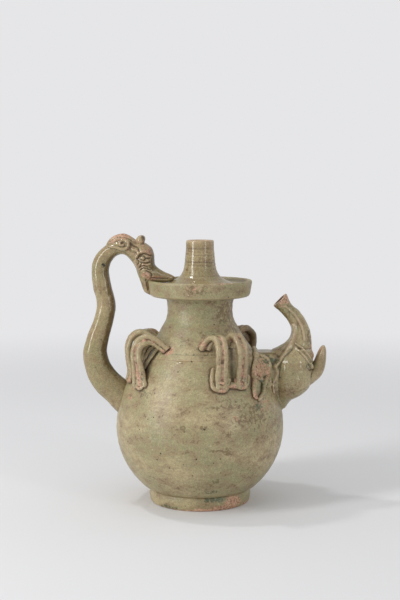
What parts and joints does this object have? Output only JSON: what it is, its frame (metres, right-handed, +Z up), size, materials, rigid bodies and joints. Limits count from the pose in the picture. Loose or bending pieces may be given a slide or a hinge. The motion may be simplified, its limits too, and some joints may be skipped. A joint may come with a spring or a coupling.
{
  "type": "celadon ewer",
  "caption": "Celadon-glazed stoneware ewer with a dish mouth and open tube, a dragon-head handle, an elephant-head spout and doubled coil loops on the shoulder.",
  "frame": {"origin": "centre of the flat base of the foot", "axes": "+Z up along the axis of the thrown body, +X towards the spout, -X towards the handle"},
  "size_m": [0.2362, 0.1632, 0.2602],
  "materials": {
    "celadon_glaze": "glossy olive celadon glaze with crackle, specks and worn patches",
    "brown_glaze": "glossy brownish celadon glaze, speckled",
    "bare_clay": "matt fired clay, pinkish orange"
  },
  "bodies": {
    "root": {"foot": "celadon_glaze", "body": "celadon_glaze", "neck": "celadon_glaze", "dish": "celadon_glaze", "mouth_tube": "brown_glaze", "handle": "brown_glaze", "dragon_head": "celadon_glaze", "dragon_lower_jaw": "bare_clay", "dragon_crest": "bare_clay", "dragon_horn_near": "bare_clay", "dragon_horn_far": "bare_clay", "dragon_curl_near": "brown_glaze", "dragon_curl_far": "brown_glaze", "dragon_eye_near": "brown_glaze", "dragon_eye_far": "brown_glaze", "lug_front_left_a": "celadon_glaze", "lug_front_left_b": "celadon_glaze", "lug_front_right_a": "celadon_glaze", "lug_front_right_b": "celadon_glaze", "lug_rear_right_a": "celadon_glaze", "lug_rear_right_b": "celadon_glaze", "lug_rear_left_a": "celadon_glaze", "lug_rear_left_b": "celadon_glaze", "spout_head": "celadon_glaze", "spout_trunk": "celadon_glaze", "spout_lower_jaw": "celadon_glaze", "spout_ear_near": "celadon_glaze", "spout_ear_far": "celadon_glaze", "spout_curl_near": "celadon_glaze", "spout_curl_far": "celadon_glaze"}
  },
  "joints": []
}
